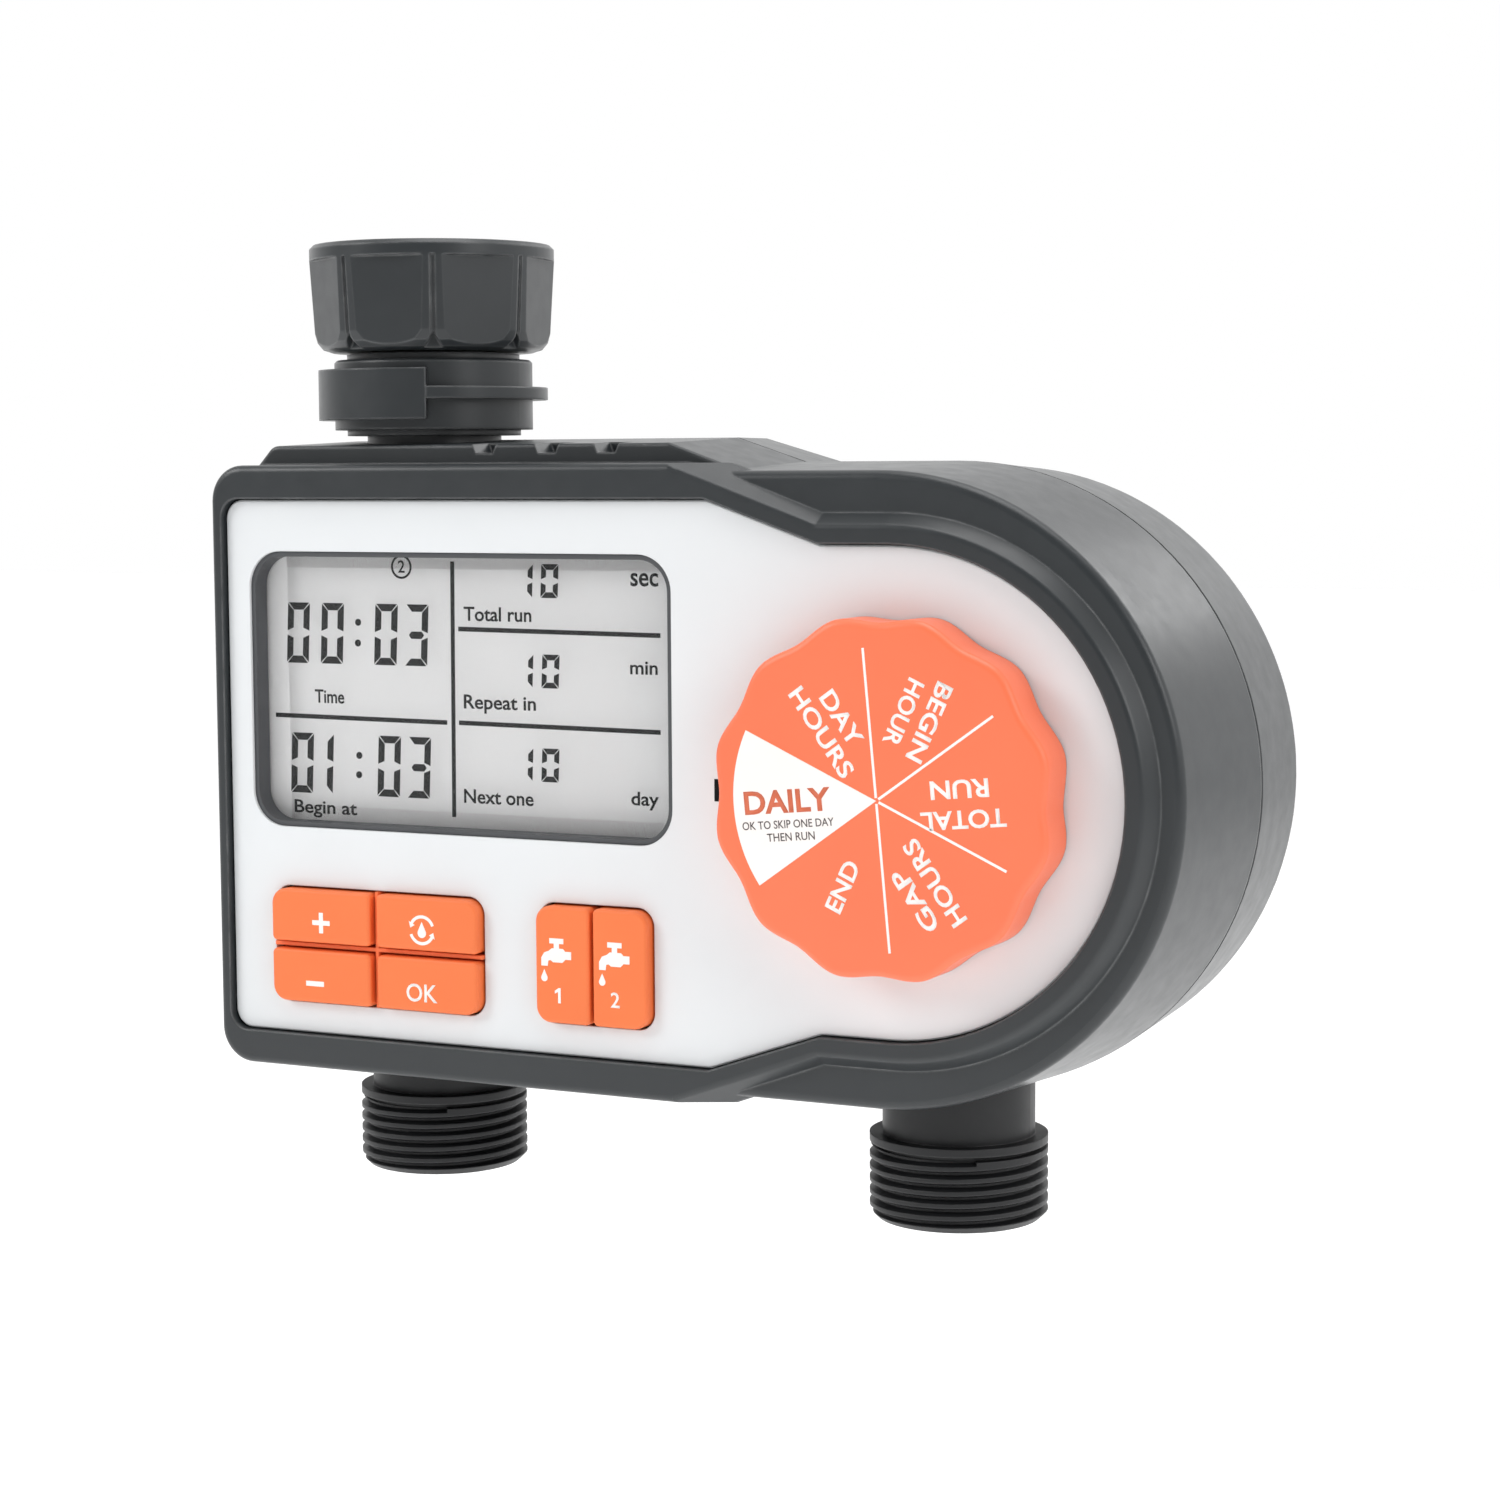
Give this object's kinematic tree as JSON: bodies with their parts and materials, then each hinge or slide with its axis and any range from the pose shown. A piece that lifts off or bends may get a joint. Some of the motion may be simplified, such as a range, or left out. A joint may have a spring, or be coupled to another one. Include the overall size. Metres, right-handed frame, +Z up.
{
  "type": "drip irrigation timer",
  "caption": "Battery tap timer for drip lines: display, keys and rotary dial on a round-ended case, swivel inlet nut above, threaded outlets below.",
  "frame": {"origin": "centre of the swivel nut's mouth, on the inlet axis", "axes": "+Z up along the inlet axis, out of the nut's mouth; +X to the right along the front; -Y out of the front panel"},
  "size_m": [0.1597, 0.0604, 0.1452],
  "materials": {
    "case": "satin dark slate grey ABS",
    "panel": "smooth white ABS",
    "key": "satin orange silicone",
    "key_web": "darker orange silicone",
    "dial": "satin orange ABS",
    "frame": "dark grey frame",
    "lens": "clear polycarbonate",
    "lcd": "grey display cell",
    "pipe": "near-black glass-filled nylon",
    "seal": "black rubber",
    "diaphragm": "brown-black rubber",
    "steel": "zinc-plated steel",
    "stainless": "stainless steel mesh",
    "copper": "varnished copper winding",
    "board": "green solder mask",
    "contact_rubber": "zebra strip",
    "cell": "printed metal sleeve",
    "tray": "black ABS",
    "wire": "red insulation",
    "switch": "natural acetal"
  },
  "bodies": {
    "case": {"battery_1": "cell", "battery_2": "cell", "battery_contacts": "steel", "battery_seal": "seal", "battery_springs": "steel", "battery_tray": "tray", "battery_wires": "wire", "board_screws": "steel", "bonnet_screws": "steel", "case_screws": "steel", "circuit_board": "board", "coil_wires": "wire", "cross_pipe": "pipe", "cross_pipe_seals": "seal", "dial_seal": "seal", "diaphragm_left": "diaphragm", "diaphragm_right": "diaphragm", "front_panel": "panel", "front_shell": "case", "inlet_clamp_ring": "case", "inlet_collar": "case", "inlet_screen": "stainless", "inlet_seal": "seal", "inlet_tailpiece": "case", "inlet_washer": "seal", "key_domes": "stainless", "keypad_web": "key_web", "lcd_connectors": "contact_rubber", "lcd_frame": "frame", "lcd_glass": "lcd", "lcd_lens": "lens", "rear_shell": "case", "rotary_switch": "switch", "shell_seal": "seal", "solenoid_coil_left": "copper", "solenoid_coil_right": "copper", "solenoid_yoke_left": "steel", "solenoid_yoke_right": "steel", "tap_pad_web": "key_web", "valve_body_left": "pipe", "valve_body_right": "pipe", "valve_bonnet_left": "pipe", "valve_bonnet_right": "pipe"},
    "nut": {"swivel_nut": "case"},
    "dial": {"dial_knob": "dial", "dial_shaft": "steel", "rotary_wiper": "switch"},
    "plunger_left": {"plunger_left": "steel", "plunger_spring_left": "stainless"},
    "plunger_right": {"plunger_right": "steel", "plunger_spring_right": "stainless"},
    "battery_cover": {"battery_cover": "case"},
    "key_manual": {"key_manual": "key"},
    "key_minus": {"key_minus": "key"},
    "key_ok": {"key_ok": "key"},
    "key_plus": {"key_plus": "key"},
    "key_tap_1": {"key_tap_1": "key"},
    "key_tap_2": {"key_tap_2": "key"}
  },
  "joints": [
    {"name": "nut_swivel", "type": "hinge", "parent": "case", "child": "nut", "pos_m": [0, 0, 0], "axis": [0, 0, 1], "continuous": true},
    {"name": "dial_turn", "type": "hinge", "parent": "case", "child": "dial", "pos_m": [0.0892, -0.022, -0.0806], "axis": [0, -1, 0], "continuous": true},
    {"name": "battery_cover_turn", "type": "hinge", "parent": "case", "child": "battery_cover", "pos_m": [0.0864, 0.028, -0.0806], "axis": [0, -1, 0], "range_deg": [0, 45]},
    {"name": "key_manual_press", "type": "slide", "parent": "case", "child": "key_manual", "axis": [0, 1, 0], "range_m": [0, 0.0009], "stiffness_N_per_m": 500, "springref_m": -0.001},
    {"name": "key_minus_press", "type": "slide", "parent": "case", "child": "key_minus", "axis": [0, 1, 0], "range_m": [0, 0.0009], "stiffness_N_per_m": 500, "springref_m": -0.001},
    {"name": "key_ok_press", "type": "slide", "parent": "case", "child": "key_ok", "axis": [0, 1, 0], "range_m": [0, 0.0009], "stiffness_N_per_m": 500, "springref_m": -0.001},
    {"name": "key_plus_press", "type": "slide", "parent": "case", "child": "key_plus", "axis": [0, 1, 0], "range_m": [0, 0.0009], "stiffness_N_per_m": 500, "springref_m": -0.001},
    {"name": "key_tap_1_press", "type": "slide", "parent": "case", "child": "key_tap_1", "axis": [0, 1, 0], "range_m": [0, 0.0009], "stiffness_N_per_m": 500, "springref_m": -0.001},
    {"name": "key_tap_2_press", "type": "slide", "parent": "case", "child": "key_tap_2", "axis": [0, 1, 0], "range_m": [0, 0.0009], "stiffness_N_per_m": 500, "springref_m": -0.001},
    {"name": "plunger_left_lift", "type": "slide", "parent": "case", "child": "plunger_left", "axis": [1, 0, 0], "range_m": [0, 0.0015], "stiffness_N_per_m": 250, "springref_m": -0.003, "deforming": ["plunger_spring_left"]},
    {"name": "plunger_right_lift", "type": "slide", "parent": "case", "child": "plunger_right", "axis": [-1, 0, 0], "range_m": [0, 0.0015], "stiffness_N_per_m": 250, "springref_m": -0.003, "deforming": ["plunger_spring_right"]}
  ]
}
